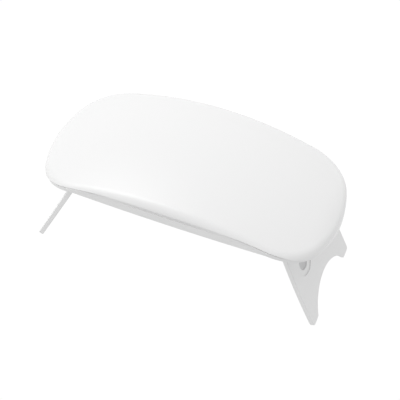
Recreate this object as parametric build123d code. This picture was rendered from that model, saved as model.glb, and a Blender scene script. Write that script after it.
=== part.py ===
from build123d import *
import math
import os

# Small folding nail lamp with a pebble shaped housing on two folding legs.
# All sizes are in millimetres. Lengths along X, the button and socket on the +Y side.
# Heights of the housing are counted from its own flat underside, and the finished
# parts are lifted by stand_height, so the soles of the legs stand on z = 0.

# Plan outline of the housing: four tangent arcs and their corners
half_length = 67.0
half_width = 34.5
side_radius = 1470.0
end_radius = 56.2
corner_radius = 22.5

# Crown of the top cover
crown_height = 21.8
crown_radius = 155.0
crown_end_radius = 26.7
crown_end_run = 7.4
crown_cross_radius = 120.0
edge_roll = 4.6
cover_wall = 1.8
rib_depth = 2.0
rib_thickness = 1.0
rib_half_span = 23.0
rib_places = (13.0, 44.0)

# Arched rim between the two covers
rim_end_height = 0.9
rim_rise = 13.4
rim_exponent = 2.65
rim_run_out = 3.0
rim_steps = 14
seam_gap = 0.3
band_height = 1.6
band_inset = 0.8
ledge_inset = 0.4
lip_gap = 0.15
lip_wall = 1.2
lip_height = 0.9

# Bottom cover
base_end_inset = 1.6
base_side_inset = 6.8
base_end_radius = 60.0
base_corner_radius = 15.8
base_edge_radius = 2.0
base_wall = 1.9
floor_thickness = 1.8
ceiling_thickness = 1.6
recess_depth = 4.0
recess_wall = 1.6

# Legs
stand_height = 39.9
splay_angle = 25.6
hinge_z = 1.9
fold_gap = 0.3
leg_thickness = 2.2
leg_side_margin = 3.2
leg_mid_draw = 0.6
leg_top_draw = 2.3
barrel_draw = 7.1
foot_straight = 7.9
arch_height = 11.7
foot_width = 5.4
foot_corner_radius = 3.0
foot_facet_height = 1.6
leg_edge_radius = 0.4
leg_side_gap = 0.5
stop_gap = 0.15
barrel_radius = 1.8
barrel_gap = 0.3
pin_radius = 0.8
pin_running_gap = 0.05
pin_seat_gap = 0.02
pin_grip = 3.5
pin_end_gap = 0.3
ear_half_length = 2.3
shoulder_gap = 0.32
snap_slot_width = 1.3

# Case screws, and the stepped holes in the legs through which they are reached when folded
screw_reach = 18.3
screw_half_pitch = 11.4
access_hole_radius = 3.0
access_rim_radius = 6.6
access_rim_depth = 0.5
plug_seat_radius = 3.9
plug_seat_depth = 1.4
plug_gap = 0.05
plug_head_height = 0.5
plug_dish = 0.25
plug_stem_inset = 0.1
screw_head_radius = 2.3
screw_head_height = 1.4
screw_shaft_radius = 1.2
screw_length = 9.0
screw_head_edge = 0.5
screw_seat_gap = 0.05
screw_hole_spare = 0.5
screw_hole_gap = 0.2
screw_thread_gap = 0.03
cross_slot_length = 3.0
cross_slot_width = 0.7
cross_slot_depth = 0.7
boss_radius = 4.2
boss_height = 3.4
post_radius = 3.2
post_gap = 0.2

# Light unit
light_end_gap = 0.4
light_board_gap = 1.5
cup_mouth_radius = 5.8
cup_throat_radius = 2.9
reflector_depth = 4.4
reflector_margin = 0.9
reflector_corner_radius = 2.5
flange_width = 2.2
flange_thickness = 1.2
window_gap = 0.3
stake_radius = 0.9
stake_gap = 0.1
stake_height = 0.8
led_board_margin = 1.9
led_board_thickness = 1.2
package_size = 3.5
package_height = 0.7
package_corner = 0.3
lens_radius = 1.55
board_screw_head_radius = 1.5
board_screw_head_height = 0.9
board_screw_radius = 0.8
board_screw_length = 3.2
board_screw_edge = 0.4
board_screw_spare = 0.3
board_slot_width = 0.4
board_slot_depth = 0.4

# Control board behind the light unit
control_half_length = 26.0
control_depth = 9.2
control_wall_gap = 0.55
control_thickness = 1.2
control_corner_radius = 1.0
standoff_height = 1.0
standoff_radius = 1.6
standoff_inset = 2.5
timer_inset = 5.0
timer_length = 4.9
timer_width = 3.9
timer_height = 1.5
timer_corner = 0.2
leads_per_side = 4
lead_pitch = 1.27
lead_length = 1.2
lead_width = 0.45
lead_thickness = 0.3
coil_inset = 7.5
coil_size = 5.0
coil_height = 2.6
coil_corner = 0.9
capacitor_inset = 2.5
capacitor_half_pitch = 2.2
capacitor_length = 3.2
capacitor_width = 2.4
capacitor_height = 1.7
resistor_count = 6
resistor_pitch = 2.2
resistor_start_x = -16.6
resistor_length = 1.2
resistor_width = 1.9
resistor_height = 0.5
wire_radius = 0.5
wire_inset = 1.4
wire_end_run = 0.6
wire_half_pitch = 1.5

# USB socket
usb_x = -12.0
usb_width = 7.6
usb_height = 2.8
usb_depth = 5.6
usb_wall = 0.35
usb_set_back = 1.4
usb_corner_radius = 0.6
usb_tongue_width = 3.8
usb_tongue_height = 0.6
usb_tongue_depth = 4.6
usb_block_depth = 0.8
usb_opening_gap = 0.45

# Power button and its switch
button_x = 10.0
button_width = 8.4
button_height = 3.4
button_stand_out = 0.6
button_gap = 0.2
button_travel = 0.5
button_flange = 0.9
button_flange_thickness = 0.8
button_flange_gap = 0.3
button_edge_radius = 0.4
button_stem_radius = 1.2
switch_width = 6.0
switch_depth = 3.6
switch_height = 4.2
switch_corner = 0.3
switch_inset = 2.2
plunger_radius = 0.95
plunger_length = 1.4
plunger_gap = 0.05
plunger_stand_out = 0.9

# Indicator light
guide_radius = 1.0
guide_gap = 0.05
guide_collar_radius = 1.5
guide_collar_length = 1.0
indicator_size = 1.6
indicator_height = 1.6
indicator_corner = 0.2
indicator_gap = 0.3
guide_x = 0.0
guide_inset = 6.1
guide_stand_out = 0.2

# How far cutting forms run past what they cut, and how near counts as the same place
overcut = 1.0
long_overcut = 12.0
same_place = 0.01
close_by = 0.1

# Derived sizes of the housing
base_half_length = half_length - base_end_inset
base_half_width = half_width - base_side_inset
crown_end_start = half_length - crown_end_run
rim_mid_height = rim_end_height + rim_rise
ledge_drop = seam_gap + band_height
ledge_mid_height = rim_mid_height - ledge_drop
ceiling_top = recess_depth + ceiling_thickness
lip_inset = cover_wall + lip_gap
lip_inner_inset = lip_inset + lip_wall

# Derived sizes of the legs
splay = math.radians(splay_angle)
leg_reach = (stand_height + hinge_z) / math.cos(splay)
leg_end = leg_reach + leg_thickness / 2 * math.tan(splay)
leg_foot_start = leg_end - foot_straight
hinge_x = leg_end + fold_gap
leg_foot_half_width = base_half_width - leg_side_margin
leg_mid_half_width = leg_foot_half_width - leg_mid_draw
leg_top_half_width = leg_foot_half_width - leg_top_draw
barrel_half_length = leg_foot_half_width - barrel_draw
shoulder_reach = math.hypot(ear_half_length, hinge_z) + shoulder_gap
arch_half_chord = leg_foot_half_width - foot_width
screw_x = hinge_x - screw_reach
screw_points = [(sx * screw_x, sy * screw_half_pitch) for sx in (-1, 1) for sy in (-1, 1)]


def wall_y(z):
    """Outer face of the bottom cover's long wall at mid length."""
    top = half_width - ledge_inset
    return base_half_width + (top - base_half_width) * z / ledge_mid_height


def hollow_y(z):
    """Inner face of the bottom cover's long wall at mid length."""
    low, high = base_half_width - base_wall, half_width - lip_inner_inset
    return low + (high - low) * (z - floor_thickness) / (ledge_mid_height - floor_thickness)


# Derived places on the control board
control_bottom = ceiling_top + standoff_height
control_top = control_bottom + control_thickness
control_back_y = hollow_y(control_bottom) - control_wall_gap
control_front_y = control_back_y - control_depth
board_mid_y = (control_front_y + control_back_y) / 2
standoff_x = control_half_length - standoff_inset
timer_x = timer_inset - control_half_length
capacitor_x = control_half_length - capacitor_inset
coil_x = control_half_length - coil_inset
usb_z = control_top + usb_height / 2
usb_front_y = wall_y(usb_z) - usb_set_back
button_z = control_top + switch_height / 2
switch_back_y = control_front_y + switch_inset
plunger_front = switch_back_y + switch_depth + plunger_stand_out
guide_z = control_top + indicator_height
guide_start_y = control_front_y + guide_inset

# Derived sizes of the light unit, which fills the room between the screw bosses and the board
flange_half_length = screw_x - boss_radius - light_end_gap
flange_half_width = control_front_y - light_board_gap
reflector_half_length = flange_half_length - flange_width
reflector_half_width = flange_half_width - flange_width
led_pitch_x = reflector_half_length - reflector_margin - cup_mouth_radius
led_half_pitch_y = reflector_half_width - reflector_margin - cup_mouth_radius
led_points = [(ix * led_pitch_x, sy * led_half_pitch_y) for sy in (-1, 1) for ix in (-1, 0, 1)]
led_board_half_length = reflector_half_length + led_board_margin
led_board_half_width = reflector_half_width + led_board_margin
led_board_bottom = recess_depth + reflector_depth
led_board_top = led_board_bottom + led_board_thickness
board_screw_x = led_pitch_x / 2
stake_x = reflector_half_length + flange_width / 2
stake_y = led_half_pitch_y


def at(x, y, z):
    """A place in the housing's own heights."""
    return Pos(x, y, z)


def unit(dx, dy):
    length = math.hypot(dx, dy)
    return dx / length, dy / length


def plan_face(a, b, side_r, end_r, corner_r):
    """Plan outline of eight tangent arcs, a by b from the centre."""
    sx, sy = 0.0, b - side_r
    ex, ey = a - end_r, 0.0
    from_side, from_end = side_r - corner_r, end_r - corner_r
    apart = math.hypot(ex - sx, ey - sy)
    along = (from_side**2 - from_end**2 + apart**2) / (2 * apart)
    off = math.sqrt(from_side**2 - along**2)
    ux, uy = unit(ex - sx, ey - sy)
    cx, cy = sx + along * ux + off * uy, sy + along * uy - off * ux
    n1 = unit(cx - sx, cy - sy)
    n2 = unit(cx - ex, cy - ey)
    nm = unit(n1[0] + n2[0], n1[1] + n2[1])
    p1 = (cx + corner_r * n1[0], cy + corner_r * n1[1])
    p2 = (cx + corner_r * n2[0], cy + corner_r * n2[1])
    pm = (cx + corner_r * nm[0], cy + corner_r * nm[1])

    def place(p, mx, my):
        return (p[0] * mx, p[1] * my)

    arcs = [
        ThreePointArc(place(p2, 1, -1), (a, 0), p2),
        ThreePointArc(p2, pm, p1),
        ThreePointArc(p1, (0, b), place(p1, -1, 1)),
        ThreePointArc(place(p1, -1, 1), place(pm, -1, 1), place(p2, -1, 1)),
        ThreePointArc(place(p2, -1, 1), (-a, 0), place(p2, -1, -1)),
        ThreePointArc(place(p2, -1, -1), place(pm, -1, -1), place(p1, -1, -1)),
        ThreePointArc(place(p1, -1, -1), (0, -b), place(p1, 1, -1)),
        ThreePointArc(place(p1, 1, -1), place(pm, 1, -1), place(p2, 1, -1)),
    ]
    return Face(Wire(arcs))


def cover_plan(inset):
    """Plan of the top cover, drawn in by inset."""
    return plan_face(
        half_length - inset,
        half_width - inset,
        side_radius - inset,
        end_radius - inset,
        corner_radius - inset,
    )


def base_plan(inset):
    """Plan of the bottom cover at its flat underside, drawn in by inset."""
    return plan_face(
        base_half_length - inset,
        base_half_width - inset,
        side_radius - inset,
        base_end_radius - inset,
        base_corner_radius - inset,
    )


def rim_height(x):
    """Height of the top cover's rim over the housing's underside."""
    return rim_end_height + rim_rise * (1 - abs(x / half_length) ** rim_exponent)


def under_rim(offset):
    """All space below the rim's arch, moved up by offset."""
    span = half_length + rim_run_out
    deep = -2 * long_overcut
    xs = [-span + 2 * span * i / rim_steps for i in range(rim_steps + 1)]
    arch = Spline([(x, 0, rim_height(x) + offset) for x in xs])
    first, last = arch @ 0, arch @ 1
    low_last, low_first = (span, 0, deep), (-span, 0, deep)
    sides = [Line(last, low_last), Line(low_last, low_first), Line(low_first, first)]
    return extrude(Face(Wire([arch] + sides)), amount=half_width + long_overcut, dir=(0, 1, 0), both=True)


def crown_body(inset):
    """Spindle whose upper side is the crown: the length's arcs turned about a line along X."""
    axis_z = crown_height - crown_cross_radius
    radius, end_r = crown_radius - inset, crown_end_radius - inset
    centre_z = crown_height - crown_radius
    sin_k = crown_end_start / crown_radius
    cos_k = math.sqrt(1 - sin_k**2)
    end_x = crown_end_start - crown_end_radius * sin_k
    end_z = centre_z + (crown_radius - crown_end_radius) * cos_k
    knee = (radius * sin_k, 0, centre_z + radius * cos_k)
    tip = (end_x + end_r, 0, end_z)
    half = (math.pi / 2 - math.asin(sin_k)) / 2
    middle = (end_x + end_r * math.cos(half), 0, end_z + end_r * math.sin(half))

    def mirrored(p):
        return (-p[0], 0, p[2])

    base = (tip[0], 0, axis_z)
    outline = [
        ThreePointArc(mirrored(knee), (0, 0, centre_z + radius), knee),
        ThreePointArc(knee, middle, tip),
        Line(tip, base),
        Line(base, mirrored(base)),
        Line(mirrored(base), mirrored(tip)),
        ThreePointArc(mirrored(tip), mirrored(middle), mirrored(knee)),
    ]
    return revolve(Face(Wire(outline)), axis=Axis((0, 0, axis_z), (1, 0, 0)), revolution_arc=360)


def pebble(inset):
    """The pebble shaped form, drawn in by inset, with its rolled top edge."""
    column = extrude(at(0, 0, -long_overcut) * cover_plan(inset), amount=crown_height + 2 * long_overcut)
    form = column & crown_body(inset)
    walls = [f for f in form.faces() if abs(f.normal_at().Z) < same_place]
    edges = [e for f in walls for e in f.edges() if e.geom_type != GeomType.LINE and e.center().Z > 0]
    return fillet(edges, edge_roll - inset)


def slab(z_low, z_high):
    """Level slab over the whole plan."""
    return at(0, 0, (z_low + z_high) / 2) * Box(3 * half_length, 3 * half_width, z_high - z_low)


def crown_inside(x, y):
    """Height of the top cover's inner face over a plan point near its middle."""
    along = crown_height - crown_radius + math.sqrt((crown_radius - cover_wall) ** 2 - x**2)
    return along - (crown_cross_radius - math.sqrt(crown_cross_radius**2 - y**2))


def top_cover():
    """Moulded shell with its arched rim, stiffening ribs and four screw posts."""
    inside = pebble(cover_wall)
    shell = pebble(0) - inside - under_rim(0)
    ribs = inside - pebble(cover_wall + rib_depth)
    bars = [at(sx * x, 0, crown_height / 2) * Box(rib_thickness, 2 * rib_half_span, crown_height)
            for x in rib_places for sx in (-1, 1)]
    shell += ribs & bars[0]
    for bar in bars[1:]:
        shell += ribs & bar
    post_bottom = ceiling_top + boss_height - ceiling_thickness + post_gap
    for x, y in screw_points:
        top = crown_inside(x, y) + cover_wall / 2
        post = at(x, y, post_bottom) * extrude(Circle(post_radius), amount=top - post_bottom)
        hole_top = recess_depth + screw_head_height + screw_length + screw_hole_spare
        hole = at(x, y, 0) * extrude(Circle(screw_shaft_radius + screw_thread_gap), amount=hole_top)
        shell = shell + post - hole
    return shell


def leg_side_arc(gap, sign, origin, direction):
    """Side edge of a leg from its shoulder to its foot, moved out by gap."""
    points = [
        (shoulder_reach, leg_top_half_width),
        ((shoulder_reach + leg_foot_start) / 2, leg_mid_half_width),
        (leg_foot_start, leg_foot_half_width),
    ]
    return [(origin + direction * v, sign * (w + gap)) for v, w in points]


def recess_face():
    """Plan of the leg recess: both folded legs with a gap round them."""
    near, end = hinge_x - ear_half_length, hinge_x + 2 * barrel_radius
    throat = barrel_half_length + barrel_gap
    quarter = []
    for direction, sign in ((-1, 1), (1, 1), (1, -1), (-1, -1)):
        origin = -direction * hinge_x
        quarter.append(leg_side_arc(leg_side_gap, sign, origin, direction))
    right_top, left_top, left_low, right_low = quarter
    edges = [ThreePointArc(*right_top), Line(right_top[2], left_top[2]), ThreePointArc(*reversed(left_top))]
    left_corners = [left_top[0], (-near, left_top[0][1]), (-near, throat), (-end, throat),
                    (-end, -throat), (-near, -throat), (-near, left_low[0][1]), left_low[0]]
    edges += [Line(p, q) for p, q in zip(left_corners, left_corners[1:])]
    edges += [ThreePointArc(*left_low), Line(left_low[2], right_low[2]), ThreePointArc(*reversed(right_low))]
    right_corners = [right_low[0], (near, right_low[0][1]), (near, -throat), (end, -throat),
                     (end, throat), (near, throat), (near, right_top[0][1]), right_top[0]]
    edges += [Line(p, q) for p, q in zip(right_corners, right_corners[1:])]
    return Face(Wire(edges))


def recess_form():
    """Space that the folded legs and their hinge barrels need."""
    def stop_x(z):
        reach = leg_thickness / 2 + stop_gap - (z - hinge_z) * math.sin(splay)
        return hinge_x + reach / math.cos(splay)

    low, high = stop_x(-overcut), stop_x(recess_depth)
    ends = [(-low, 0, -overcut), (low, 0, -overcut), (high, 0, recess_depth), (-high, 0, recess_depth)]
    ends.append(ends[0])
    wedge = extrude(Face(Wire([Line(p, q) for p, q in zip(ends, ends[1:])])), amount=half_width,
                    dir=(0, 1, 0), both=True)
    space = extrude(at(0, 0, -overcut) * recess_face(), amount=recess_depth + overcut) & wedge
    for side in (-1, 1):
        half = barrel_half_length + barrel_gap
        space += y_cylinder(side * hinge_x, hinge_z, barrel_radius + barrel_gap, half)
    return space


def y_cylinder(x, z, radius, half):
    """Cylinder along Y through x and z."""
    return at(x, 0, z) * Rot(90, 0, 0) * Cylinder(radius, 2 * half)


def plate(half_x, half_y, thickness, corner):
    """Flat plate with rounded corners, standing on z = 0."""
    return extrude(RectangleRounded(2 * half_x, 2 * half_y, corner), amount=thickness)


def bottom_shell():
    """Sloped wall, reveal band, locating lip and floor, hollowed."""
    wall = loft([base_plan(0), at(0, 0, ledge_mid_height) * cover_plan(ledge_inset)], ruled=True)
    wall = fillet([e for e in wall.edges() if e.center().Z < same_place], base_edge_radius)
    wall &= under_rim(-ledge_drop)
    upper = slab(0, crown_height) - under_rim(-ledge_drop - lip_gap)
    band = extrude(cover_plan(band_inset), amount=crown_height) & under_rim(-seam_gap) & upper
    lip = pebble(lip_inset) & under_rim(lip_height) & upper
    low_plan = at(0, 0, floor_thickness) * base_plan(base_wall)
    high_plan = at(0, 0, ledge_mid_height) * cover_plan(lip_inner_inset)
    hollow = loft([low_plan, high_plan], ruled=True) + extrude(high_plan, amount=crown_height)
    return wall + band + lip - hollow, hollow


def bottom_cover():
    """Tray with the leg recess, light window, hinge ears, screw bosses and side openings."""
    shell, hollow = bottom_shell()
    tub_face = offset(recess_face(), recess_wall, kind=Kind.INTERSECTION)
    tub = extrude(tub_face, amount=ceiling_top) & (hollow + slab(0, floor_thickness))
    tray = shell + tub
    for x, y in screw_points:
        tray += at(x, y, recess_depth) * extrude(Circle(boss_radius), amount=boss_height)
    for x in (-1, 1):
        for y in (-1, 1):
            tray += at(x * stake_x, y * stake_y, ceiling_top) * extrude(
                Circle(stake_radius), amount=flange_thickness + stake_height)
            tray += at(x * standoff_x, standoff_y(y), ceiling_top) * extrude(
                Circle(standoff_radius), amount=standoff_height)
    tray -= recess_form()
    tray -= at(0, 0, recess_depth - overcut) * plate(
        reflector_half_length + window_gap,
        reflector_half_width + window_gap,
        ceiling_thickness + 2 * overcut,
        reflector_corner_radius,
    )
    for x, y in screw_points:
        head_hole = extrude(Circle(screw_head_radius + screw_hole_gap), amount=screw_head_height)
        shaft_hole = extrude(Circle(screw_shaft_radius + screw_hole_gap), amount=boss_height + overcut)
        tray -= at(x, y, recess_depth) * (head_hole + shaft_hole)
    for side in (-1, 1):
        grip = barrel_half_length + barrel_gap + pin_grip
        tray -= y_cylinder(side * hinge_x, hinge_z, pin_radius + pin_seat_gap, grip)
        slot = Box(snap_slot_width, 2 * grip, hinge_z + overcut)
        tray -= at(side * hinge_x, 0, (hinge_z - overcut) / 2) * slot
    return tray - side_openings()


def side_openings():
    """Openings in the long wall for the socket, the button and the light guide."""
    depth = long_overcut
    start = wall_y(usb_z) - depth / 2
    gap = usb_opening_gap
    cut = at(usb_x, start, usb_z) * Rot(-90, 0, 0) * extrude(
        RectangleRounded(usb_width + 2 * gap, usb_height + 2 * gap, usb_corner_radius + gap), amount=depth)
    cut += at(button_x, start, button_z) * Rot(-90, 0, 0) * extrude(
        SlotOverall(button_width + 2 * button_gap, button_height + 2 * button_gap), amount=depth)
    cut += at(guide_x, start, guide_z) * Rot(-90, 0, 0) * extrude(
        Circle(guide_radius + guide_gap), amount=depth)
    return cut


def leg_face():
    """Outline of a leg, hinge axis at x = 0 and foot towards +X."""
    apex = leg_end - arch_height
    chord = arch_half_chord
    top = leg_side_arc(0, 1, 0, 1)
    low = leg_side_arc(0, -1, 0, 1)
    foot = (leg_end, leg_foot_half_width)
    foot_low = (leg_end, -leg_foot_half_width)
    edges = [
        Line((0, barrel_half_length), (shoulder_reach, barrel_half_length)),
        Line((shoulder_reach, barrel_half_length), top[0]),
        ThreePointArc(*top),
        Line(top[2], foot),
        Line(foot, (leg_end, chord)),
        ThreePointArc((leg_end, chord), (apex, 0), (leg_end, -chord)),
        Line((leg_end, -chord), foot_low),
        Line(foot_low, low[2]),
        ThreePointArc(*reversed(low)),
        Line(low[0], (shoulder_reach, -barrel_half_length)),
        Line((shoulder_reach, -barrel_half_length), (0, -barrel_half_length)),
        Line((0, -barrel_half_length), (0, barrel_half_length)),
    ]
    return Face(Wire(edges))


def leg_blank():
    """One leg lying flat: plate, hinge barrel, stepped recesses; outer face up."""
    blade = at(0, 0, -leg_thickness / 2) * extrude(leg_face(), amount=leg_thickness, dir=(0, 0, 1))
    corners = [e for e in blade.edges().filter_by(Axis.Z)
               if e.center().X > leg_end - close_by and abs(e.center().Y) > leg_foot_half_width - close_by]
    blade = fillet(corners, foot_corner_radius)
    rims = [e for e in blade.edges() if abs(abs(e.center().Z) - leg_thickness / 2) < same_place
            and e.center().X > shoulder_reach + close_by]
    blade = fillet(rims, leg_edge_radius)
    blade += y_cylinder(0, 0, barrel_radius, barrel_half_length)
    for y in (-screw_half_pitch, screw_half_pitch):
        blade -= at(screw_reach, y, 0) * Cylinder(access_hole_radius, 2 * leg_thickness)
        blade -= at(screw_reach, y, leg_thickness / 2) * Cylinder(plug_seat_radius, 2 * plug_seat_depth)
        blade -= at(screw_reach, y, leg_thickness / 2) * Cylinder(access_rim_radius, 2 * access_rim_depth)
    return blade - y_cylinder(0, 0, pin_radius + pin_running_gap, barrel_half_length + overcut)


def splayed(form):
    """A form drawn with the leg lying flat, turned to the right leg's stop."""
    return at(hinge_x, 0, hinge_z) * Rot(0, 90 - splay_angle, 0) * form


def right_leg_plugs():
    """Two dished rubber plugs that close the right leg's screw holes, each seated on its step."""
    group = []
    seat = leg_thickness / 2 - plug_seat_depth
    bottom = plug_stem_inset - leg_thickness / 2
    head_radius, stem_radius = plug_seat_radius - plug_gap, access_hole_radius - plug_gap
    dish_radius = (head_radius**2 + plug_dish**2) / (2 * plug_dish)
    for y in (-screw_half_pitch, screw_half_pitch):
        plug = at(screw_reach, y, seat) * extrude(Circle(head_radius), amount=plug_head_height)
        plug += at(screw_reach, y, bottom) * extrude(Circle(stem_radius), amount=seat - bottom)
        plug -= at(screw_reach, y, seat + plug_head_height - plug_dish + dish_radius) * Sphere(dish_radius)
        group.append(splayed(plug))
    return Compound(children=group)


def right_leg():
    """The leg at its splayed stop, with its sole cut level and a short upright facet."""
    leg = splayed(leg_blank())
    leg -= slab(-stand_height - long_overcut, -stand_height)
    outer_x = hinge_x + leg_end * math.sin(splay) + leg_thickness / 2 * math.cos(splay)
    facet_x = outer_x - foot_facet_height * math.tan(splay)
    facet = at(facet_x + long_overcut / 2, 0, -stand_height) * Box(
        long_overcut, 3 * half_width, 4 * foot_facet_height)
    return leg - facet


def hinge_pin(side):
    """Steel pin held in the two ears of the bottom cover."""
    half = barrel_half_length + barrel_gap + pin_grip - pin_end_gap
    return y_cylinder(side * hinge_x, hinge_z, pin_radius, half)


def case_screws():
    """Four pan head screws that join the covers."""
    group = []
    for x, y in screw_points:
        z = recess_depth + screw_seat_gap
        thick = screw_head_height - screw_seat_gap
        head = at(x, y, z) * extrude(Circle(screw_head_radius), amount=thick)
        head = fillet(head.edges().sort_by(Axis.Z)[0], screw_head_edge)
        head += at(x, y, z) * extrude(Circle(screw_shaft_radius), amount=thick + screw_length)
        for turn in (0, 90):
            slot = Box(cross_slot_length, cross_slot_width, 2 * cross_slot_depth)
            head -= at(x, y, z) * Rot(0, 0, turn) * slot
        group.append(head)
    return Compound(children=group)


def reflector_plate():
    """Moulded plate with six conical cups and a flange staked to the bottom cover."""
    body = at(0, 0, recess_depth) * plate(
        reflector_half_length, reflector_half_width, reflector_depth, reflector_corner_radius)
    body += at(0, 0, ceiling_top) * plate(
        flange_half_length, flange_half_width, flange_thickness, reflector_corner_radius)
    for x, y in led_points:
        cup = Cone(cup_mouth_radius, cup_throat_radius, reflector_depth)
        body -= at(x, y, recess_depth + reflector_depth / 2) * cup
    for x in (-stake_x, stake_x):
        for y in (-stake_y, stake_y):
            body -= at(x, y, ceiling_top) * Cylinder(stake_radius + stake_gap, 4 * flange_thickness)
    for x in (-board_screw_x, board_screw_x):
        depth = board_screw_length - led_board_thickness + board_screw_spare
        hole = extrude(Circle(board_screw_radius + screw_thread_gap), amount=depth)
        body -= at(x, 0, led_board_bottom - depth) * hole
    return body


def led_board():
    """Aluminium cored board that carries the six emitters on its lower face."""
    board = at(0, 0, led_board_bottom) * plate(
        led_board_half_length, led_board_half_width, led_board_thickness, reflector_corner_radius)
    for x in (-board_screw_x, board_screw_x):
        hole = Cylinder(board_screw_radius + screw_hole_gap, 4 * led_board_thickness)
        board -= at(x, 0, led_board_bottom) * hole
    return board


def board_screws():
    """Two small screws that hold the light board to the reflector plate."""
    group = []
    for x in (-board_screw_x, board_screw_x):
        head = at(x, 0, led_board_top) * extrude(
            Circle(board_screw_head_radius), amount=board_screw_head_height)
        head = fillet(head.edges().sort_by(Axis.Z)[-1], board_screw_edge)
        slot = Box(2 * board_screw_radius, board_slot_width, 2 * board_slot_depth)
        head -= at(x, 0, led_board_top + board_screw_head_height) * slot
        shaft = at(x, 0, led_board_top - board_screw_length) * extrude(
            Circle(board_screw_radius), amount=board_screw_length)
        group.append(head + shaft)
    return Compound(children=group)


def led_package(x, y):
    """Square emitter package under the light board."""
    body = at(x, y, led_board_bottom - package_height / 2) * Box(package_size, package_size, package_height)
    return chamfer(body.edges().filter_by(Axis.Z), package_corner)


def led_lens(x, y):
    """Clear dome moulded on an emitter."""
    z = led_board_bottom - package_height
    return at(x, y, z) * Sphere(lens_radius) & at(x, y, z - lens_radius) * Box(
        4 * lens_radius, 4 * lens_radius, 2 * lens_radius)


def control_board():
    """Narrow board along the long wall, on four standoffs."""
    return at(0, board_mid_y, control_bottom) * plate(
        control_half_length, control_depth / 2, control_thickness, control_corner_radius)


def usb_shell():
    """Folded steel shell of the socket, open towards +Y."""
    outer = at(usb_x, usb_front_y - usb_depth, usb_z) * Rot(-90, 0, 0) * extrude(
        RectangleRounded(usb_width, usb_height, usb_corner_radius), amount=usb_depth)
    mouth = RectangleRounded(
        usb_width - 2 * usb_wall, usb_height - 2 * usb_wall, usb_corner_radius - usb_wall / 2)
    back = usb_front_y - usb_depth + usb_wall
    return outer - at(usb_x, back, usb_z) * Rot(-90, 0, 0) * extrude(mouth, amount=usb_depth)


def usb_tongue():
    """Contact tongue inside the socket."""
    y = usb_front_y - usb_depth + usb_wall
    base = at(usb_x, y + usb_block_depth / 2, usb_z) * Box(
        usb_width - 4 * usb_wall, usb_block_depth, usb_height - 4 * usb_wall)
    blade = Box(usb_tongue_width, usb_tongue_depth, usb_tongue_height)
    return base + at(usb_x, y + usb_tongue_depth / 2, usb_z) * blade


def switch_body():
    """Side pressed tact switch on the control board."""
    body = Box(switch_width, switch_depth, switch_height)
    body = at(button_x, switch_back_y + switch_depth / 2, button_z) * body
    body = chamfer(body.edges().filter_by(Axis.Y), switch_corner)
    depth = plunger_length - plunger_stand_out + button_travel + plunger_gap
    hole = at(button_x, switch_back_y + switch_depth - depth, button_z) * Rot(-90, 0, 0) * extrude(
        Circle(plunger_radius + plunger_gap), amount=depth)
    return body - hole


def switch_plunger():
    """Plunger that the button's stem presses into the switch."""
    return at(button_x, plunger_front - plunger_length, button_z) * Rot(-90, 0, 0) * extrude(
        Circle(plunger_radius), amount=plunger_length)


def power_button():
    """Button cap with its retaining flange and stem; its face follows the wall's slope."""
    slope = math.degrees(math.atan2(wall_y(ledge_mid_height) - wall_y(0), ledge_mid_height))
    flange_front = hollow_y(button_z - button_height / 2) - button_flange_gap
    flange_back = flange_front - button_flange_thickness
    cap = at(button_x, flange_back, button_z) * Rot(-90, 0, 0) * extrude(
        SlotOverall(button_width, button_height), amount=long_overcut)
    face_y = wall_y(button_z) + button_stand_out
    block = Box(2 * long_overcut, 2 * long_overcut, 2 * long_overcut)
    cap -= at(button_x, face_y, button_z) * Rot(-slope, 0, 0) * at(0, long_overcut, 0) * block
    front = cap.faces().sort_by(Axis.Y)[-1]
    cap = fillet(front.edges(), button_edge_radius)
    cap += at(button_x, flange_back, button_z) * Rot(-90, 0, 0) * extrude(
        SlotOverall(button_width + 2 * button_flange, button_height),
        amount=button_flange_thickness)
    cap += at(button_x, plunger_front, button_z) * Rot(-90, 0, 0) * extrude(
        Circle(button_stem_radius), amount=flange_front - plunger_front)
    return cap


def light_guide():
    """Clear rod that carries the indicator's light through the wall."""
    start = guide_start_y
    rod = at(guide_x, start, guide_z) * Rot(-90, 0, 0) * extrude(
        Circle(guide_radius), amount=wall_y(guide_z) + guide_stand_out - start)
    collar = at(guide_x, start, guide_z) * Rot(-90, 0, 0) * extrude(
        Circle(guide_collar_radius), amount=guide_collar_length)
    return rod + collar


def indicator_led():
    """Small lamp on the control board behind the light guide."""
    y = guide_start_y - indicator_gap - indicator_size / 2
    body = at(guide_x, y, control_top + indicator_height) * Box(
        indicator_size, indicator_size, 2 * indicator_height)
    return chamfer(body.edges().filter_by(Axis.Z), indicator_corner)


def chip(x, y, length, width, height):
    """Plain moulded part on the control board."""
    return at(x, y, control_top + height / 2) * Box(length, width, height)


def timer_chip():
    """Timer chip with four leads on each long side."""
    body = chip(timer_x, board_mid_y, timer_length, timer_width, timer_height)
    body = chamfer(body.edges().filter_by(Axis.Z), timer_corner)
    foot = Box(lead_width, lead_length, lead_thickness)
    rise = Box(lead_width, lead_thickness, timer_height / 2)
    for i in range(leads_per_side):
        x = timer_x + (i - (leads_per_side - 1) / 2) * lead_pitch
        for side in (-1, 1):
            edge = board_mid_y + side * timer_width / 2
            body += at(x, edge + side * lead_length / 2, control_top + lead_thickness / 2) * foot
            body += at(x, edge + side * lead_thickness / 2, control_top + timer_height / 4) * rise
    return body


def power_coil():
    """Shielded coil of the lamp's current driver."""
    body = chip(coil_x, board_mid_y, coil_size, coil_size, coil_height)
    return chamfer(body.edges().filter_by(Axis.Z), coil_corner)


def capacitors():
    """Two chip capacitors beside the coil."""
    spots = [board_mid_y + side * capacitor_half_pitch for side in (-1, 1)]
    return Compound(children=[
        chip(capacitor_x, y, capacitor_length, capacitor_width, capacitor_height) for y in spots])


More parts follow.
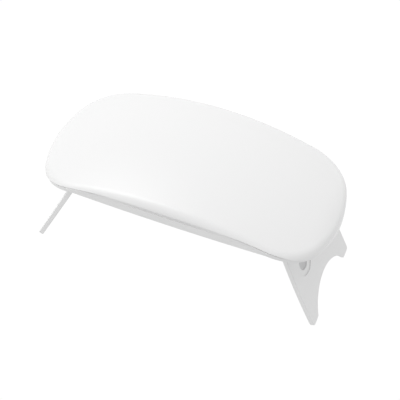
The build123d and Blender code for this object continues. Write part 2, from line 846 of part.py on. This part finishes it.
def resistors():
    """Row of six chip resistors along the board's front edge."""
    spots = [resistor_start_x + i * resistor_pitch for i in range(resistor_count)]
    return Compound(children=[
        chip(x, control_front_y + resistor_width, resistor_length, resistor_width, resistor_height)
        for x in spots])


def board_wire(x):
    """Insulated wire that arches from the control board to the light board."""
    start, finish = control_front_y + wire_inset, led_board_half_width - wire_inset
    bend = (start - finish) / 2
    crest = led_board_top + wire_end_run
    rise = Line((x, start, control_top), (x, start, crest))
    arc = ThreePointArc((x, start, crest), (x, (start + finish) / 2, crest + bend), (x, finish, crest))
    drop = Line((x, finish, crest), (x, finish, led_board_top))
    return sweep(at(x, start, control_top) * Circle(wire_radius), path=Wire([rise, arc, drop]))


def standoff_y(side):
    """Rows of standoffs under the control board."""
    return board_mid_y + side * control_depth / 4


def left_of(form):
    """The same moulding turned half round for the other end."""
    return Rot(0, 0, 180) * form


def build():
    """All parts by name, in the housing's own heights."""
    leg, plugs = right_leg(), right_leg_plugs()
    parts = {
        "top_cover": top_cover(),
        "bottom_cover": bottom_cover(),
        "right_leg": leg,
        "left_leg": left_of(leg),
        "right_leg_plugs": plugs,
        "left_leg_plugs": left_of(plugs),
        "right_hinge_pin": hinge_pin(1),
        "left_hinge_pin": hinge_pin(-1),
        "case_screws": case_screws(),
        "reflector_plate": reflector_plate(),
        "led_board": led_board(),
        "board_screws": board_screws(),
        "control_board": control_board(),
        "usb_shell": usb_shell(),
        "usb_tongue": usb_tongue(),
        "switch_body": switch_body(),
        "switch_plunger": switch_plunger(),
        "power_button": power_button(),
        "light_guide": light_guide(),
        "indicator_led": indicator_led(),
        "timer_chip": timer_chip(),
        "power_coil": power_coil(),
        "capacitors": capacitors(),
        "resistors": resistors(),
        "positive_wire": board_wire(-wire_half_pitch),
        "negative_wire": board_wire(wire_half_pitch),
    }
    for i, (x, y) in enumerate(led_points, start=1):
        parts[f"led_package_{i}"] = led_package(x, y)
        parts[f"led_lens_{i}"] = led_lens(x, y)
    return parts


os.makedirs("parts", exist_ok=True)
for name, form in build().items():
    export_step(at(0, 0, stand_height) * form, f"parts/{name}.step")
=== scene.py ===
"""Looks of a small folding nail lamp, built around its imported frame."""

import logging
import math
from dataclasses import dataclass
from enum import Enum

import bmesh
import bpy
from mathutils import Matrix, Vector


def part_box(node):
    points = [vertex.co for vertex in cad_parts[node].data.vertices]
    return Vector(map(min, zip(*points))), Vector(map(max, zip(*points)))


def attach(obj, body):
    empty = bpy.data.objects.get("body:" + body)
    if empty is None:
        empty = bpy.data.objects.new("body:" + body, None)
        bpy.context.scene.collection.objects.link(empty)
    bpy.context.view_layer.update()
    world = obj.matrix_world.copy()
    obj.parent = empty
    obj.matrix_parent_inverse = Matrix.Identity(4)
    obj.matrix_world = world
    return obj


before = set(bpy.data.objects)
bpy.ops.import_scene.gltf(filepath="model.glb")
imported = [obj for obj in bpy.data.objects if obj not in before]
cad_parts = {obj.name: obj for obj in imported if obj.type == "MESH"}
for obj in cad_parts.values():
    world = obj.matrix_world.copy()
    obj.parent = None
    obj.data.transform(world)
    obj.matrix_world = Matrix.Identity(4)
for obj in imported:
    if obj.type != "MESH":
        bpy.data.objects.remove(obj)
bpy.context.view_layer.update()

log = logging.getLogger("nail_lamp")
Colour = tuple[float, float, float]
Triple = tuple[float, float, float]
Socket = bpy.types.NodeSocket
Material = bpy.types.Material

# Blender works in metres.
MM = 0.001
MICRON = 0.000001
WHITE = (1.0, 1.0, 1.0, 1.0)
# A noise mostly lies between these two values.
NOISE_LOW = 0.3
NOISE_HIGH = 0.7
DISC_SIDES = 40
BEVEL_STEPS = 2


class Grain(Enum):
    """How the face of the mould was finished."""

    POLISHED = "polished"
    FINE_SPARK = "fine_spark"


class LineRun(Enum):
    """The axis along which the lines of a metal's working run."""

    X = "x"
    Y = "y"
    Z = "z"


class NodeGraph:
    """A node tree, with short ways to add nodes and link them."""

    def __init__(self, tree: bpy.types.NodeTree) -> None:
        """Takes hold of the node tree of a material or a world."""
        self.tree = tree

    def feed(self, socket: Socket, value: object) -> None:
        """Links a socket where the value is a socket too, and sets it otherwise.

        Args:
            socket: The input to fill.
            value: The output to link it to, or its own value.
        """
        if isinstance(value, Socket):
            self.tree.links.new(value, socket)
        else:
            socket.default_value = value

    def add(self, kind: str, **inputs: object) -> bpy.types.Node:
        """Adds a node and sets or links its inputs.

        Args:
            kind: The node's type name.
            **inputs: Values or sockets, by the input's name with underscores for spaces.

        Returns:
            The new node.
        """
        node = self.tree.nodes.new(kind)
        for key, value in inputs.items():
            self.feed(node.inputs[key.replace("_", " ")], value)
        return node

    def reckoned(self, kind: str, operation: str, *inputs: object) -> Socket:
        """Adds a node that reckons one number.

        Args:
            kind: The node's type name.
            operation: What it does with its inputs.
            *inputs: Values or sockets, in the order of the node's inputs.

        Returns:
            The number.
        """
        node = self.tree.nodes.new(kind)
        node.operation = operation
        for socket, value in zip(node.inputs, inputs):
            self.feed(socket, value)
        return node.outputs["Value"]


class NodeSheet(NodeGraph):
    """One material and the shader nodes laid on it."""

    def __init__(self, name: str) -> None:
        """Starts an empty material.

        Args:
            name: The material's name.
        """
        self.material = bpy.data.materials.new(name)
        self.material.use_nodes = True
        super().__init__(self.material.node_tree)
        self.tree.nodes.clear()
        self.output = self.add("ShaderNodeOutputMaterial")
        self.place = self.add("ShaderNodeTexCoord").outputs["Object"]

    def stretched(self, scale: Triple) -> Socket:
        """Gives the object's coordinates, scaled along each axis."""
        return self.add("ShaderNodeMapping", Vector=self.place, Scale=scale).outputs["Vector"]

    def noise(self, scale: float, detail: float, vector: Socket | None = None) -> Socket:
        """Gives a noise from 0 to 1, with its grains for each metre and its number of finer layers."""
        node = self.add("ShaderNodeTexNoise", Vector=vector or self.place, Scale=scale, Detail=detail)
        return node.outputs["Fac"]

    def spread(self, value: Socket, low: float, high: float) -> Socket:
        """Maps the range where a noise mostly lies onto a range of values.

        Args:
            value: The noise.
            low: The value where the noise is low.
            high: The value where the noise is high.

        Returns:
            The mapped value.
        """
        node = self.add(
            "ShaderNodeMapRange", Value=value, From_Min=NOISE_LOW, From_Max=NOISE_HIGH, To_Min=low,
            To_Max=high)
        return node.outputs["Result"]

    def tinted(self, share: Socket, low: Colour, high: Colour) -> Socket:
        """Blends two colours.

        Args:
            share: The share of the second colour.
            low: The first colour.
            high: The second colour.

        Returns:
            The blended colour.
        """
        node = self.tree.nodes.new("ShaderNodeMix")
        node.data_type = "RGBA"
        self.feed(node.inputs[0], share)
        colours = [socket for socket in node.inputs if socket.type == "RGBA"]
        for socket, colour in zip(colours, (low, high)):
            self.feed(socket, (*colour, 1.0))
        return next(socket for socket in node.outputs if socket.type == "RGBA")

    def raised(self, height: Socket, depth: float, under: Socket | None = None) -> Socket:
        """Turns a height into a bump.

        Args:
            height: The height, from 0 to 1.
            depth: How deep the full height is, in metres.
            under: A coarser bump that this one is laid on, or None.

        Returns:
            The bumped normal.
        """
        node = self.add("ShaderNodeBump", Height=height, Distance=depth, Strength=1.0)
        if under is not None:
            self.feed(node.inputs["Normal"], under)
        return node.outputs["Normal"]

    def ended(self, surface: Socket) -> Material:
        """Ends the material in a surface's shader, and gives it."""
        self.feed(self.output.inputs["Surface"], surface)
        return self.material

    def finish(self, **inputs: object) -> Material:
        """Ends the material in one main shader with the given values or sockets, and gives it."""
        return self.ended(self.add("ShaderNodeBsdfPrincipled", **inputs).outputs["BSDF"])


def shade(colour: Colour, factor: float) -> Colour:
    """Makes a colour lighter or darker by a factor."""
    return (colour[0] * factor, colour[1] * factor, colour[2] * factor)


@dataclass(frozen=True)
class Finish:
    """A named look that is built as a material. Scales are grains for each metre, and depths metres."""

    name: str

    def material(self) -> Material:
        """Builds the material, in a way of its own for each kind of finish."""
        raise NotImplementedError(self.name)


@dataclass(frozen=True)
class MouldedPlastic(Finish):
    """A plastic part as it leaves its mould."""

    colour: Colour
    roughness: float
    grain: Grain
    flow_scale: float = 22.0
    flow_stretch: Triple = (0.5, 1.0, 1.0)
    flow_shade: float = 0.992
    handling_scale: float = 90.0
    handling_swing: float = 0.12
    sink_scale: float = 70.0
    sink_depth: float = 12.0 * MICRON
    polish_scale: float = 900.0
    polish_depth: float = 1.2 * MICRON
    polish_index: float = 1.49
    coat: float = 0.15
    coat_roughness: float = 0.12
    spark_scale: float = 2600.0
    spark_depth: float = 1.1 * MICRON
    spark_index: float = 1.47

    def material(self) -> Material:
        """Builds the plastic, with the flow of its melt, faint handling and the mould's grain."""
        sheet = NodeSheet(self.name)
        flow = sheet.noise(self.flow_scale, detail=2.0, vector=sheet.stretched(self.flow_stretch))
        handling = sheet.noise(self.handling_scale, detail=4.0)
        colour = sheet.tinted(flow, shade(self.colour, self.flow_shade), self.colour)
        swing = self.roughness * self.handling_swing
        roughness = sheet.spread(handling, self.roughness - swing, self.roughness + swing)
        sink = sheet.raised(sheet.noise(self.sink_scale, detail=1.0), self.sink_depth)
        if self.grain is Grain.POLISHED:
            normal = sheet.raised(sheet.noise(self.polish_scale, detail=2.0), self.polish_depth, sink)
            return sheet.finish(
                Base_Color=colour, Roughness=roughness, Normal=normal, IOR=self.polish_index,
                Coat_Weight=self.coat, Coat_Roughness=self.coat_roughness)
        normal = sheet.raised(sheet.noise(self.spark_scale, detail=1.5), self.spark_depth, sink)
        return sheet.finish(Base_Color=colour, Roughness=roughness, Normal=normal, IOR=self.spark_index)


@dataclass(frozen=True)
class WorkedMetal(Finish):
    """A bare metal with the lines of its working."""

    colour: Colour
    roughness: float
    run: LineRun
    line_depth: float
    line_scale: float = 5200.0
    line_stretch: float = 0.03
    smooth_share: float = 0.8
    rough_share: float = 1.25
    film_scale: float = 420.0
    film_shade: float = 0.9

    def material(self) -> Material:
        """Builds the metal, with drawn or brushed lines and a faint film."""
        sheet = NodeSheet(self.name)
        scale = tuple(self.line_stretch if axis is self.run else 1.0 for axis in LineRun)
        lines = sheet.noise(self.line_scale, detail=3.0, vector=sheet.stretched(scale))
        film = sheet.noise(self.film_scale, detail=3.0)
        return sheet.finish(
            Base_Color=sheet.tinted(film, shade(self.colour, self.film_shade), self.colour),
            Metallic=1.0,
            Roughness=sheet.spread(
                lines, self.roughness * self.smooth_share, self.roughness * self.rough_share),
            Normal=sheet.raised(lines, self.line_depth),
        )


@dataclass(frozen=True)
class ClearResin(Finish):
    """A clear moulded resin."""

    tint: Colour
    index: float
    clarity: float
    wave_scale: float = 500.0
    wave_depth: float = 4.0 * MICRON
    smoothest: float = 0.015
    roughest: float = 0.045

    def material(self) -> Material:
        """Builds the resin, with the faint waves of its cure."""
        sheet = NodeSheet(self.name)
        waves = sheet.noise(self.wave_scale, detail=1.0)
        return sheet.finish(
            Base_Color=(*self.tint, 1.0),
            Roughness=sheet.spread(waves, self.smoothest, self.roughest),
            IOR=self.index,
            Transmission_Weight=self.clarity,
            Normal=sheet.raised(waves, self.wave_depth),
        )


@dataclass(frozen=True)
class BoardLacquer(Finish):
    """Solder lacquer over copper tracks, whose pattern doesn't change through the board."""

    lacquer: Colour
    track: Colour
    pitch: float
    track_stretch: Triple = (1.0, 1.6, 0.001)
    track_edge: tuple[float, float] = (0.36, 0.40)
    track_depth: float = 40.0 * MICRON
    gloss_scale: float = 1500.0
    smoothest: float = 0.26
    roughest: float = 0.36

    def material(self) -> Material:
        """Builds the lacquer, with tracks that show as raised, lighter strips."""
        sheet = NodeSheet(self.name)
        cells = sheet.add(
            "ShaderNodeTexVoronoi", Vector=sheet.stretched(self.track_stretch), Scale=1.0 / self.pitch)
        cells.distance = "CHEBYCHEV"
        inner, outer = self.track_edge
        tracks = sheet.add(
            "ShaderNodeMapRange", Value=cells.outputs["Distance"], From_Min=inner,
            From_Max=outer).outputs["Result"]
        gloss = sheet.noise(self.gloss_scale, detail=2.0)
        return sheet.finish(
            Base_Color=sheet.tinted(tracks, self.lacquer, self.track),
            Roughness=sheet.spread(gloss, self.smoothest, self.roughest),
            Normal=sheet.raised(tracks, self.track_depth),
        )


@dataclass(frozen=True)
class FilledCompound(Finish):
    """A dull moulded or fired body, such as a chip, a ferrite or a ceramic."""

    colour: Colour
    roughness: float
    speck: float
    filler_scale: float = 6500.0
    filler_depth: float = 6.0 * MICRON
    filler_swing: float = 0.1

    def material(self) -> Material:
        """Builds the body, with the specks of its filler."""
        sheet = NodeSheet(self.name)
        filler = sheet.noise(self.filler_scale, detail=3.0)
        dark, light = shade(self.colour, 1.0 - self.speck), shade(self.colour, 1.0 + self.speck)
        swing = self.roughness * self.filler_swing
        return sheet.finish(
            Base_Color=sheet.tinted(filler, dark, light),
            Roughness=sheet.spread(filler, self.roughness - swing, self.roughness + swing),
            Normal=sheet.raised(filler, self.filler_depth),
        )


COVER_WHITE = MouldedPlastic("cover_white", (0.87, 0.87, 0.87), 0.22, Grain.POLISHED)
BODY_WHITE = MouldedPlastic("body_white", (0.84, 0.84, 0.84), 0.36, Grain.FINE_SPARK)
# The same plastic as body_white, painted lighter to cancel the shade that the top cover casts on the legs.
LEG_WHITE_PAINTED_LIGHT = MouldedPlastic("leg_white_painted_light", (0.87, 0.87, 0.87), 0.36, Grain.FINE_SPARK)
BUTTON_WHITE = MouldedPlastic("button_white", (0.84, 0.84, 0.84), 0.24, Grain.POLISHED)
SILVERED = WorkedMetal("silvered_plastic", (0.90, 0.90, 0.92), 0.14, LineRun.Z, 0.8 * MICRON)
DRAWN_STEEL = WorkedMetal("drawn_steel", (0.60, 0.60, 0.61), 0.24, LineRun.Y, 2.0 * MICRON)
PLATED_STEEL = WorkedMetal("plated_steel", (0.62, 0.62, 0.64), 0.30, LineRun.Z, 1.5 * MICRON)
SOCKET_STEEL = WorkedMetal("socket_steel", (0.68, 0.68, 0.69), 0.22, LineRun.X, 1.5 * MICRON)
CONTACT_GOLD = WorkedMetal("contact_gold", (0.86, 0.66, 0.30), 0.20, LineRun.Y, 1.0 * MICRON)
LENS_RESIN = ClearResin("lens_resin", (0.97, 0.97, 0.96), 1.52, 1.0)
GUIDE_RESIN = ClearResin("guide_resin", (0.80, 0.84, 0.88), 1.49, 0.45)
LIGHT_BOARD = BoardLacquer("light_board_white", (0.84, 0.85, 0.84), (0.90, 0.90, 0.88), 9.0 * MM)
CONTROL_BOARD = BoardLacquer("control_board_green", (0.02, 0.16, 0.07), (0.05, 0.28, 0.12), 3.4 * MM)
# A rubber plug whose grey is set dark to paint the shade inside the legs' screw holes.
PLUG_RUBBER_PAINTED_SHADE = FilledCompound("plug_rubber", (0.63, 0.63, 0.635), 0.5, 0.06)
CHIP_BLACK = FilledCompound("chip_black", (0.03, 0.03, 0.032), 0.5, 0.25)
SWITCH_BLACK = FilledCompound("switch_black", (0.025, 0.025, 0.025), 0.42, 0.15)
FERRITE = FilledCompound("ferrite_grey", (0.13, 0.13, 0.135), 0.6, 0.3)
CERAMIC = FilledCompound("ceramic_tan", (0.46, 0.30, 0.17), 0.45, 0.12)
EMITTER_BODY = FilledCompound("emitter_body", (0.82, 0.81, 0.76), 0.35, 0.03)
EMITTER_PAD = FilledCompound("emitter_pad", (0.80, 0.79, 0.74), 0.30, 0.02)
EMITTER_DIE = FilledCompound("emitter_die", (0.62, 0.55, 0.26), 0.32, 0.10)
RED_INSULATION = FilledCompound("red_insulation", (0.48, 0.02, 0.015), 0.38, 0.05)
BLACK_INSULATION = FilledCompound("black_insulation", (0.02, 0.02, 0.02), 0.38, 0.05)


def dress(finish: Finish, *nodes: str) -> None:
    """Gives nodes of the frame one finish in every material slot.

    Args:
        finish: The finish.
        *nodes: The nodes' names.
    """
    material = finish.material()
    for node in nodes:
        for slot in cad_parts[node].material_slots:
            slot.material = material
        log.info("dressed %s", node)


def lowered(point: Vector, drop: float) -> Vector:
    """Gives the place that lies straight below a point."""
    return point - Vector((0.0, 0.0, drop))


class Piece:
    """A small piece under work, ended as an object that rides on a body."""

    def __init__(self, name: str) -> None:
        """Starts an empty shape under the piece's name."""
        self.name = name
        self.shape = bmesh.new()

    def edges_at(self, verts: list[bmesh.types.BMVert]) -> list[bmesh.types.BMEdge]:
        """Gives the edges of the form that was just made of these vertices."""
        made = set(verts)
        return [edge for edge in self.shape.edges if edge.verts[0] in made]

    def rounded(self, edges: list[bmesh.types.BMEdge], radius: float) -> None:
        """Rounds edges off.

        Args:
            edges: The edges.
            radius: The radius that they get.
        """
        bmesh.ops.bevel(
            self.shape, geom=edges, offset=radius, offset_type="OFFSET", segments=BEVEL_STEPS, profile=0.5,
            affect="EDGES", clamp_overlap=True, material=-1)

    def block(self, centre: Vector, size: Vector, rounding: float) -> None:
        """Adds a block with rounded edges.

        Args:
            centre: The block's middle.
            size: Its length along each axis.
            rounding: The radius of its edges.
        """
        made = bmesh.ops.create_cube(self.shape, size=1.0)["verts"]
        bmesh.ops.scale(self.shape, vec=size, verts=made)
        bmesh.ops.translate(self.shape, vec=centre, verts=made)
        self.rounded(self.edges_at(made), rounding)

    def disc(self, centre: Vector, radius: float, height: float, rounding: float) -> None:
        """Adds a flat round disc with rounded rims.

        Args:
            centre: The disc's middle.
            radius: Its radius.
            height: How thick it is along Z.
            rounding: The radius of its rims.
        """
        made = bmesh.ops.create_cone(
            self.shape, cap_ends=True, segments=DISC_SIDES, radius1=radius, radius2=radius,
            depth=height)["verts"]
        bmesh.ops.translate(self.shape, vec=centre, verts=made)
        rims = [edge for edge in self.edges_at(made) if edge.verts[0].co.z == edge.verts[1].co.z]
        self.rounded(rims, rounding)

    def ended(self, material: Material, body: str, slot: str) -> None:
        """Ends the shape as an object of the scene.

        Args:
            material: Its finish.
            body: The body it rides on.
            slot: Not used.
        """
        mesh = bpy.data.meshes.new(self.name)
        self.shape.to_mesh(mesh)
        self.shape.free()
        mesh.materials.append(material)
        piece = bpy.data.objects.new(self.name, mesh)
        bpy.context.scene.collection.objects.link(piece)
        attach(piece, body)
        log.info("made %s", self.name)


@dataclass
class Housing:
    """The two covers and the screws that join them."""

    cover: MouldedPlastic = COVER_WHITE
    base: MouldedPlastic = BODY_WHITE
    screw: WorkedMetal = PLATED_STEEL

    def build(self) -> None:
        """Dresses the covers and their screws."""
        dress(self.cover, "top_cover")
        dress(self.base, "bottom_cover")
        dress(self.screw, "case_screws")


@dataclass
class FoldingLegs:
    """The two legs, the plugs in their screw holes and the pins that they turn on."""

    # Its lighter white is painted light against the shade under the top cover.
    plastic: MouldedPlastic = LEG_WHITE_PAINTED_LIGHT
    # The plug's dark grey paints the shade in the screw holes.
    plug: FilledCompound = PLUG_RUBBER_PAINTED_SHADE
    pin: WorkedMetal = DRAWN_STEEL

    def build(self) -> None:
        """Dresses both legs with their plugs and pins."""
        dress(self.plastic, "left_leg", "right_leg")
        dress(self.plug, "left_leg_plugs", "right_leg_plugs")
        dress(self.pin, "left_hinge_pin", "right_hinge_pin")


@dataclass
class LightUnit:
    """The reflector with its six emitters, their lenses and their board."""

    reflector: WorkedMetal = SILVERED
    board: BoardLacquer = LIGHT_BOARD
    screw: WorkedMetal = PLATED_STEEL
    package: FilledCompound = EMITTER_BODY
    lens: ClearResin = LENS_RESIN
    pad: FilledCompound = EMITTER_PAD
    die: FilledCompound = EMITTER_DIE
    count: int = 6
    pad_radius: float = 1.32 * MM
    pad_height: float = 0.10 * MM
    pad_rounding: float = 0.03 * MM
    die_side: float = 0.95 * MM
    die_height: float = 0.14 * MM
    die_rounding: float = 0.02 * MM

    def emitter(self, number: int, pad: Material, die: Material) -> None:
        """Adds the plated pad and the light-giving die under one lens.

        Args:
            number: The emitter's number.
            pad: The pad's finish.
            die: The die's finish.
        """
        low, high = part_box(f"led_package_{number}")
        middle = (low + high) / 2
        foot = Vector((middle.x, middle.y, low.z))
        plate = Piece(f"led_pad_{number}")
        plate.disc(lowered(foot, self.pad_height / 2), self.pad_radius, self.pad_height, self.pad_rounding)
        plate.ended(pad, "housing", "emitter_body")
        chip = Piece(f"led_die_{number}")
        size = Vector((self.die_side, self.die_side, self.die_height))
        chip.block(lowered(foot, self.pad_height + self.die_height / 2), size, self.die_rounding)
        chip.ended(die, "housing", "emitter_body")

    def build(self) -> None:
        """Dresses the light unit and fills its emitters."""
        numbers = range(1, self.count + 1)
        dress(self.reflector, "reflector_plate")
        dress(self.board, "led_board")
        dress(self.screw, "board_screws")
        dress(self.package, *(f"led_package_{number}" for number in numbers))
        dress(self.lens, *(f"led_lens_{number}" for number in numbers))
        pad, die = self.pad.material(), self.die.material()
        for number in numbers:
            self.emitter(number, pad, die)


@dataclass
class ControlUnit:
    """The control board with what is soldered to it."""

    board: BoardLacquer = CONTROL_BOARD
    shell: WorkedMetal = SOCKET_STEEL
    contact: WorkedMetal = CONTACT_GOLD
    moulding: FilledCompound = SWITCH_BLACK
    chip: FilledCompound = CHIP_BLACK
    coil: FilledCompound = FERRITE
    capacitor: FilledCompound = CERAMIC
    indicator: FilledCompound = EMITTER_BODY
    positive: FilledCompound = RED_INSULATION
    negative: FilledCompound = BLACK_INSULATION
    contact_count: int = 5
    contact_pitch: float = 0.65 * MM
    contact_width: float = 0.36 * MM
    contact_length: float = 3.4 * MM
    contact_height: float = 0.08 * MM
    contact_rounding: float = 0.02 * MM
    tongue_half_height: float = 0.3 * MM
    tip_setback: float = 0.3 * MM

    def contacts(self) -> None:
        """Adds the gold contacts on the lower face of the socket's tongue."""
        low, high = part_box("usb_tongue")
        middle = (low + high) / 2
        size = Vector((self.contact_width, self.contact_length, self.contact_height))
        row = Piece("usb_contacts")
        for place in range(self.contact_count):
            across = (place - (self.contact_count - 1) / 2) * self.contact_pitch
            centre = Vector((
                middle.x + across,
                high.y - self.tip_setback - self.contact_length / 2,
                middle.z - self.tongue_half_height))
            row.block(centre, size, self.contact_rounding)
        row.ended(self.contact.material(), "housing", "socket_steel")

    def build(self) -> None:
        """Dresses the board, the socket, the switch and the small parts."""
        dress(self.board, "control_board")
        dress(self.shell, "usb_shell")
        dress(self.moulding, "usb_tongue", "switch_body", "switch_plunger")
        dress(self.chip, "timer_chip", "resistors")
        dress(self.coil, "power_coil")
        dress(self.capacitor, "capacitors")
        dress(self.indicator, "indicator_led")
        dress(self.positive, "positive_wire")
        dress(self.negative, "negative_wire")
        self.contacts()


@dataclass
class Controls:
    """What a hand or an eye meets on the long side."""

    button: MouldedPlastic = BUTTON_WHITE
    guide: ClearResin = GUIDE_RESIN

    def build(self) -> None:
        """Dresses the button and the light guide."""
        dress(self.button, "power_button")
        dress(self.guide, "light_guide")


@dataclass
class PhotoCamera:
    """The camera where the photograph was taken: angles in degrees, places in metres, sensor in mm."""

    azimuth: float = 20.26
    elevation: float = 47.78
    roll: float = 2.48
    distance: float = 0.53
    aim_right: float = 0.00214
    aim_up: float = -0.00732
    housing_height: float = 0.0399
    focal_pixels: float = 1199.6
    picture_pixels: float = 400.0
    sensor_width: float = 36.0
    nearest: float = 0.01
    furthest: float = 100.0

    def build(self) -> None:
        """Stands the camera and makes it the scene's own."""
        turn, tilt, lean = (math.radians(angle) for angle in (self.azimuth, self.elevation, self.roll))
        level = Vector((math.cos(turn), math.sin(turn), 0.0))
        back = Vector((math.sin(turn) * math.cos(tilt), -math.cos(turn) * math.cos(tilt), math.sin(tilt)))
        upright = back.cross(level)
        right = level * math.cos(lean) + upright * math.sin(lean)
        up = upright * math.cos(lean) - level * math.sin(lean)
        aim = Vector((0.0, 0.0, self.housing_height)) + right * self.aim_right + up * self.aim_up
        data = bpy.data.cameras.new("photo_camera")
        data.sensor_width = self.sensor_width
        data.lens = self.focal_pixels / self.picture_pixels * self.sensor_width
        data.clip_start = self.nearest
        data.clip_end = self.furthest
        camera = bpy.data.objects.new("photo_camera", data)
        bpy.context.scene.collection.objects.link(camera)
        turned = Matrix((right, up, back)).transposed().to_4x4()
        camera.matrix_world = Matrix.Translation(aim + back * self.distance) @ turned
        bpy.context.scene.camera = camera


@dataclass
class Studio:
    """A pale floor and soft light, with lengths in metres.

    The sky has the level sky_mean, and sky_rise says how much it gains along each axis. Towards
    tent_side it gains tent_gain more, on a patch that is smaller where tent_narrowing is higher.
    """

    floor_radius: float = 4.0
    floor_sides: int = 96
    wall_height: float = 5.0
    floor_glow: float = 1.02
    sky_mean: float = 0.80
    sky_rise: Triple = (-0.05, 0.10, 0.0)
    tent_side: Triple = (-0.53, -0.08, 0.845)
    tent_gain: float = 3.0
    tent_narrowing: float = 19.0
    key_power: float = 0.8
    key_size: float = 2.4
    key_place: Triple = (-1.2, 0.2, 2.2)
    key_aim: Triple = (0.0, 0.0, 0.04)

    def floor(self) -> None:
        """Lays a plain white floor that rises to a round wall, and leaves the light to the sky alone."""
        mesh = bpy.data.meshes.new("floor")
        shape = bmesh.new()
        bmesh.ops.create_circle(
            shape, cap_ends=True, cap_tris=True, segments=self.floor_sides, radius=self.floor_radius)
        edge = [line for line in shape.edges if line.is_boundary]
        rim = bmesh.ops.extrude_edge_only(shape, edges=edge)["geom"]
        risen = [item for item in rim if isinstance(item, bmesh.types.BMVert)]
        bmesh.ops.translate(shape, vec=Vector((0.0, 0.0, self.wall_height)), verts=risen)
        shape.to_mesh(mesh)
        shape.free()
        sheet = NodeSheet("floor_white")
        glow = sheet.add("ShaderNodeEmission", Color=WHITE, Strength=self.floor_glow)
        mesh.materials.append(sheet.ended(glow.outputs["Emission"]))
        floor = bpy.data.objects.new("floor", mesh)
        bpy.context.scene.collection.objects.link(floor)
        floor.visible_diffuse = False
        floor.visible_glossy = False
        floor.visible_shadow = False

    def sky(self) -> None:
        """Sets a nearly even sky with one soft bright side, as a light tent has."""
        world = bpy.data.worlds.new("soft_sky")
        world.use_nodes = True
        graph = NodeGraph(world.node_tree)
        direction = graph.add("ShaderNodeTexCoord").outputs["Generated"]
        rise = graph.reckoned("ShaderNodeVectorMath", "DOT_PRODUCT", direction, self.sky_rise)
        level = graph.reckoned("ShaderNodeMath", "ADD", rise, self.sky_mean)
        bright_side = Vector(self.tent_side).normalized()
        facing = graph.reckoned("ShaderNodeVectorMath", "DOT_PRODUCT", direction, bright_side)
        ahead = graph.reckoned("ShaderNodeMath", "MAXIMUM", facing, 0.0)
        falloff = graph.reckoned("ShaderNodeMath", "POWER", ahead, self.tent_narrowing)
        total = graph.reckoned("ShaderNodeMath", "MULTIPLY_ADD", falloff, self.tent_gain, level)
        background = world.node_tree.nodes["Background"]
        graph.feed(background.inputs["Color"], WHITE)
        graph.feed(background.inputs["Strength"], total)
        bpy.context.scene.world = world

    def light(self) -> None:
        """Adds one very large, weak light on the sky's bright side."""
        data = bpy.data.lights.new("key", "AREA")
        data.shape = "DISK"
        data.size = self.key_size
        data.energy = self.key_power
        key = bpy.data.objects.new("key", data)
        bpy.context.scene.collection.objects.link(key)
        place = Vector(self.key_place)
        facing = (Vector(self.key_aim) - place).to_track_quat("-Z", "Y")
        key.matrix_world = Matrix.Translation(place) @ facing.to_matrix().to_4x4()

    def build(self) -> None:
        """Sets the whole stage, and shows its colours as they are."""
        self.floor()
        self.sky()
        self.light()
        bpy.context.scene.view_settings.view_transform = "Standard"


def main() -> None:
    """Builds the camera, the stage and every sub-assembly in order."""
    logging.basicConfig(level=logging.INFO, format="%(message)s")
    for part in (
        PhotoCamera(), Studio(), Housing(), FoldingLegs(), LightUnit(), ControlUnit(), Controls(),
    ):
        part.build()
        log.info("built %s", type(part).__name__)


if __name__ == "__main__":
    main()
